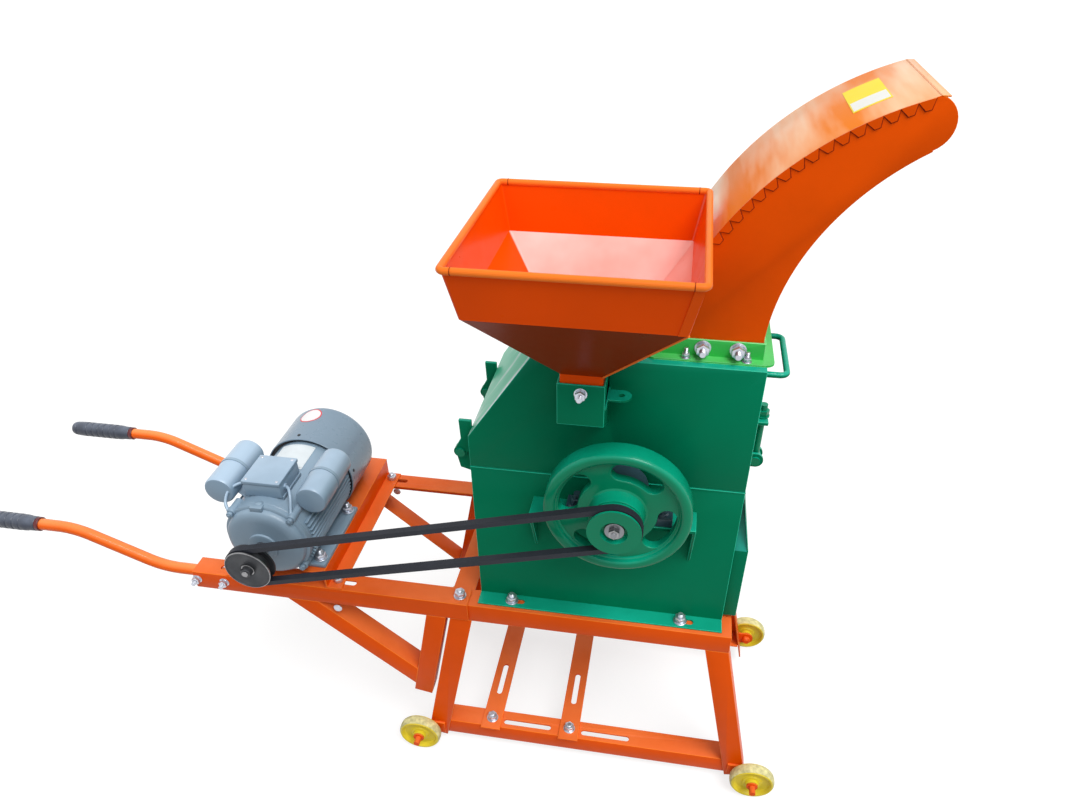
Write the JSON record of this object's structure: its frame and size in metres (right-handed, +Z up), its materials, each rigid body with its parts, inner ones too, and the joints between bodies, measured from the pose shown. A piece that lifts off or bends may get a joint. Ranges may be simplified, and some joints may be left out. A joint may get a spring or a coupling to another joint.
{
  "type": "feed_chopper",
  "caption": "Belt driven fodder chopper with grain hopper, curved discharge chute, hinged hood and side motor on a wheeled angle iron stand with push handles.",
  "frame": {"origin": "bottom centre of the whole machine's box, on the floor between the wheels and the handles", "axes": "+X from the handles towards the discharge chute, +Y from the belt side towards the feed trough, +Z up"},
  "size_m": [1.5829, 0.779, 1.2771],
  "materials": {
    "orange_paint": "glossy orange paint",
    "green_paint": "glossy green paint",
    "light_green_paint": "glossy light green paint",
    "motor_paint": "satin grey-blue paint",
    "bearing_paint": "satin blue-grey paint",
    "zinc": "zinc plated",
    "steel": "bare machined steel",
    "hard_steel": "hardened tool steel",
    "dark_iron": "bare dark iron",
    "copper_core": "laminated core with windings",
    "belt_rubber": "matte V belt rubber",
    "grip_rubber": "ribbed soft grip",
    "wheel_plastic": "yellow hard plastic",
    "cap_plastic": "grey-blue plastic",
    "fan_plastic": "black plastic"
  },
  "bodies": {
    "frame": {"stand_top_frame": "orange_paint", "leg_front_left": "orange_paint", "leg_front_right": "orange_paint", "leg_rear_left": "orange_paint", "leg_rear_right": "orange_paint", "lower_rails": "orange_paint", "braces": "orange_paint", "motor_rail_front": "orange_paint", "motor_rail_rear": "orange_paint", "motor_cross_rails": "orange_paint", "strut_posts": "orange_paint", "strut_diagonals": "orange_paint", "handle_front": "orange_paint", "handle_rear": "orange_paint", "grips": "grip_rubber", "wheel_axles": "orange_paint", "frame_bolts": "zinc", "motor_casing": "motor_paint", "motor_end_shield": "motor_paint", "motor_fan_cover": "motor_paint", "motor_terminal_box": "cap_plastic", "capacitor_left": "cap_plastic", "capacitor_right": "cap_plastic", "motor_stator": "copper_core", "drive_belt": "belt_rubber", "lower_housing": "green_paint", "screen": "steel", "outlet_hood": "green_paint", "bearing_brackets": "green_paint", "shaft_bearings": "bearing_paint", "feed_trough": "orange_paint", "shear_bar": "hard_steel", "hinge_pins": "zinc"},
    "rotor": {"main_shaft": "steel", "flywheel": "green_paint", "main_pulley": "green_paint", "knife_disc": "steel", "knives": "hard_steel", "hammer_disc": "steel", "hammer_pins": "steel"},
    "low_hammer_row": {"hammers_low": "hard_steel"},
    "high_hammer_row": {"hammers_high": "hard_steel"},
    "motor_turning": {"motor_rotor": "steel", "motor_fan": "fan_plastic", "motor_pulley": "dark_iron"},
    "opening_hood": {"hood": "green_paint", "chute_collar": "light_green_paint", "discharge_chute": "orange_paint", "hopper": "orange_paint", "grain_box": "green_paint", "lift_handle": "green_paint", "hood_bolts": "zinc"},
    "grain_gate": {"slide_gate": "green_paint"},
    "latch": {"latch_bolt": "zinc"},
    "front_left_wheel": {"wheel_front_left": "wheel_plastic"},
    "front_right_wheel": {"wheel_front_right": "wheel_plastic"},
    "rear_left_wheel": {"wheel_rear_left": "wheel_plastic"},
    "rear_right_wheel": {"wheel_rear_right": "wheel_plastic"}
  },
  "joints": [
    {"name": "main_spin", "type": "hinge", "parent": "frame", "child": "rotor", "pos_m": [0.44546, -0.0725, 0.7175], "axis": [0, 1, 0], "continuous": true},
    {"name": "motor_spin", "type": "hinge", "parent": "frame", "child": "motor_turning", "pos_m": [-0.16154, -0.1525, 0.545], "axis": [0, 1, 0], "continuous": true},
    {"name": "hood_open", "type": "hinge", "parent": "frame", "child": "opening_hood", "pos_m": [0.18246, -0.0725, 0.728], "axis": [0, -1, 0], "range_deg": [0, 95]},
    {"name": "gate_slide", "type": "slide", "parent": "opening_hood", "child": "grain_gate", "axis": [1, 0, 0], "range_m": [0, 0.045]},
    {"name": "latch_swing", "type": "hinge", "parent": "frame", "child": "latch", "pos_m": [0.65446, -0.0845, 0.702], "axis": [0, 1, 0], "range_deg": [0, 110]},
    {"name": "low_hammer_swing", "type": "hinge", "parent": "rotor", "child": "low_hammer_row", "pos_m": [0.44546, -0.0645, 0.6125], "axis": [0, 1, 0], "continuous": true},
    {"name": "high_hammer_swing", "type": "hinge", "parent": "rotor", "child": "high_hammer_row", "pos_m": [0.44546, -0.0645, 0.8225], "axis": [0, 1, 0], "continuous": true},
    {"name": "front_left_roll", "type": "hinge", "parent": "frame", "child": "front_left_wheel", "pos_m": [0.06246, -0.2605, 0.043], "axis": [0, 1, 0], "continuous": true},
    {"name": "front_right_roll", "type": "hinge", "parent": "frame", "child": "front_right_wheel", "pos_m": [0.73846, -0.2605, 0.043], "axis": [0, 1, 0], "continuous": true},
    {"name": "rear_left_roll", "type": "hinge", "parent": "frame", "child": "rear_left_wheel", "pos_m": [0.06246, 0.1155, 0.043], "axis": [0, 1, 0], "continuous": true},
    {"name": "rear_right_roll", "type": "hinge", "parent": "frame", "child": "rear_right_wheel", "pos_m": [0.73846, 0.1155, 0.043], "axis": [0, 1, 0], "continuous": true}
  ],
  "couplings": [
    {"joint": "motor_spin", "follows": "main_spin", "ratio": 1}
  ]
}
